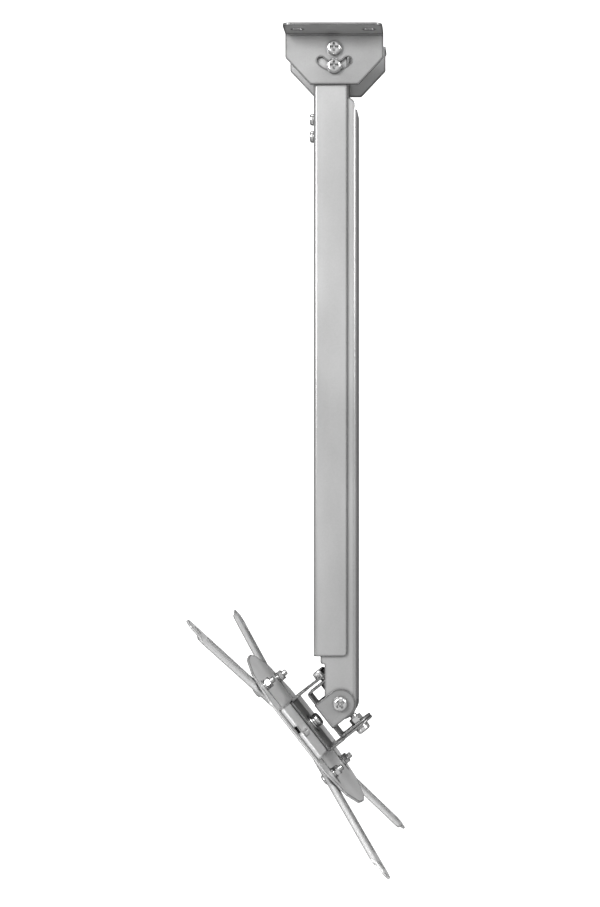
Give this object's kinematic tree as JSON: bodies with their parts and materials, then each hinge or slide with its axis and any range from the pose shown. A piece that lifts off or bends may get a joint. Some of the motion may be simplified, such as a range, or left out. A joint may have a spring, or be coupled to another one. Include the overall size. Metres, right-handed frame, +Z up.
{
  "type": "projector ceiling mount",
  "caption": "Ceiling mount for a projector: tilting telescopic channel pole with a tilt, roll and swivel head and a plate with slotted adjustable arms.",
  "frame": {"origin": "middle of the ceiling screw pattern, on the ceiling contact face", "axes": "+Z up into the ceiling, +X to the right as pictured, +Y away from the viewer"},
  "size_m": [0.162, 0.2703, 0.6875],
  "materials": {
    "bracket_paint": "satin silver grey",
    "pole_paint": "satin silver grey",
    "plate_paint": "satin silver grey",
    "inner_steel": "plain steel",
    "zinc": "bright zinc"
  },
  "bodies": {
    "ceiling": {"ceiling_bracket_near": "bracket_paint", "ceiling_bracket_far": "bracket_paint", "tilt_bolt": "zinc", "tilt_nut": "zinc", "tilt_washers": "zinc"},
    "pole_upper": {"outer_channel": "pole_paint", "tilt_sleeve": "zinc", "lock_bolt": "zinc", "lock_nut": "zinc", "lock_sleeve": "zinc", "lock_washers": "zinc"},
    "pole_lower": {"inner_channel": "pole_paint", "clamp_plate": "inner_steel", "clamp_screws": "zinc", "clamp_washers": "zinc", "pitch_sleeve": "zinc"},
    "yoke": {"cross_yoke": "bracket_paint", "pitch_bolt": "zinc", "pitch_nut": "zinc", "pitch_washers": "zinc"},
    "swivel_bracket": {"swivel_bracket": "bracket_paint", "roll_bolts": "zinc", "roll_nuts": "zinc", "roll_washers": "zinc", "swivel_bolt": "zinc", "swivel_washer": "zinc", "swivel_spring_washer": "zinc", "swivel_nut": "zinc"},
    "spider": {"spider_plate": "plate_paint", "bridge_plate": "plate_paint"},
    "arm_clamp_1": {"arm_bolt_1": "zinc", "arm_nut_1": "zinc", "arm_washers_1": "zinc", "arm_spring_washer_1": "zinc"},
    "arm_1": {"arm_1": "plate_paint"},
    "arm_clamp_2": {"arm_bolt_2": "zinc", "arm_nut_2": "zinc", "arm_washers_2": "zinc", "arm_spring_washer_2": "zinc"},
    "arm_2": {"arm_2": "plate_paint"},
    "arm_clamp_3": {"arm_bolt_3": "zinc", "arm_nut_3": "zinc", "arm_washers_3": "zinc", "arm_spring_washer_3": "zinc"},
    "arm_3": {"arm_3": "plate_paint"},
    "arm_clamp_4": {"arm_bolt_4": "zinc", "arm_nut_4": "zinc", "arm_washers_4": "zinc", "arm_spring_washer_4": "zinc"},
    "arm_4": {"arm_4": "plate_paint"}
  },
  "joints": [
    {"name": "ceiling_tilt", "type": "hinge", "parent": "ceiling", "child": "pole_upper", "pos_m": [0, 0, -0.0141], "axis": [0, 1, 0], "range_deg": [-45, 45]},
    {"name": "pole_height", "type": "slide", "parent": "pole_upper", "child": "pole_lower", "axis": [0, 0, -1], "range_m": [0, 0.35]},
    {"name": "head_pitch", "type": "hinge", "parent": "pole_lower", "child": "yoke", "pos_m": [0.005, 0, -0.5584], "axis": [0, 1, 0], "range_deg": [-50, 25]},
    {"name": "head_roll", "type": "hinge", "parent": "yoke", "child": "swivel_bracket", "pos_m": [0.005, 0, -0.5584], "axis": [0.6184, 0, -0.7859], "range_deg": [-20, 20]},
    {"name": "head_swivel", "type": "hinge", "parent": "swivel_bracket", "child": "spider", "pos_m": [0.00438, 0, -0.55761], "axis": [0.7859, 0, 0.6184], "continuous": true},
    {"name": "arm_swing_1", "type": "hinge", "parent": "spider", "child": "arm_clamp_1", "pos_m": [-0.05802, -0.04321, -0.54316], "axis": [0.7859, 0, 0.6184], "range_deg": [-20, 15]},
    {"name": "arm_reach_1", "type": "slide", "parent": "arm_clamp_1", "child": "arm_1", "axis": [-0.4098, -0.749, 0.5207], "range_m": [-0.018, 0.0135]},
    {"name": "arm_swing_2", "type": "hinge", "parent": "spider", "child": "arm_clamp_2", "pos_m": [-0.05658, 0.04576, -0.54499], "axis": [0.7859, 0, 0.6184], "range_deg": [-15, 20]},
    {"name": "arm_reach_2", "type": "slide", "parent": "arm_clamp_2", "child": "arm_2", "axis": [-0.385, 0.7826, 0.4892], "range_m": [-0.018, 0.0135]},
    {"name": "arm_swing_3", "type": "hinge", "parent": "spider", "child": "arm_clamp_3", "pos_m": [-0.00176, -0.04559, -0.61465], "axis": [0.7859, 0, 0.6184], "range_deg": [-20, 20]},
    {"name": "arm_reach_3", "type": "slide", "parent": "arm_clamp_3", "child": "arm_3", "axis": [0.4257, -0.7254, -0.5409], "range_m": [-0.0245, 0.007]},
    {"name": "arm_swing_4", "type": "hinge", "parent": "spider", "child": "arm_clamp_4", "pos_m": [-0.00032, 0.04338, -0.61648], "axis": [0.7859, 0, 0.6184], "range_deg": [-20, 20]},
    {"name": "arm_reach_4", "type": "slide", "parent": "arm_clamp_4", "child": "arm_4", "axis": [0.4486, 0.6884, -0.57], "range_m": [-0.0245, 0.007]}
  ]
}
